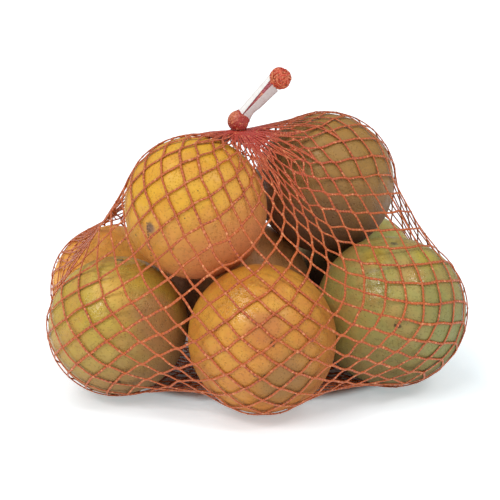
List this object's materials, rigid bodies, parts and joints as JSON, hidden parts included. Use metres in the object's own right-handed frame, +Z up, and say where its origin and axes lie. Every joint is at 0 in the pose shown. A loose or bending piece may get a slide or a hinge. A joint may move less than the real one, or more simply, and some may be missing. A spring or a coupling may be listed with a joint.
{
  "type": "net of oranges",
  "caption": "Oranges heaped in a taut knitted net bag, gathered into a ball at the neck, with a white sleeve and a tuft on the leaning tail.",
  "frame": {"origin": "middle of the base of the object's bounding box, on the surface it stands on", "axes": "+Z up, +X along the bag's length, to the right as seen from the shown front, and +Y away from the viewer"},
  "size_m": [0.2306, 0.1917, 0.1677],
  "materials": {
    "net": "knitted orange-red polyethylene net, satin",
    "sleeve": "glossy white plastic film",
    "peel": "waxy citrus peel with fine pores, yellow-orange to green"
  },
  "bodies": {
    "root": {"net_bag": "net", "neck_ball": "net", "neck_sleeve": "sleeve", "tail_tuft": "net"}
  },
  "joints": []
}
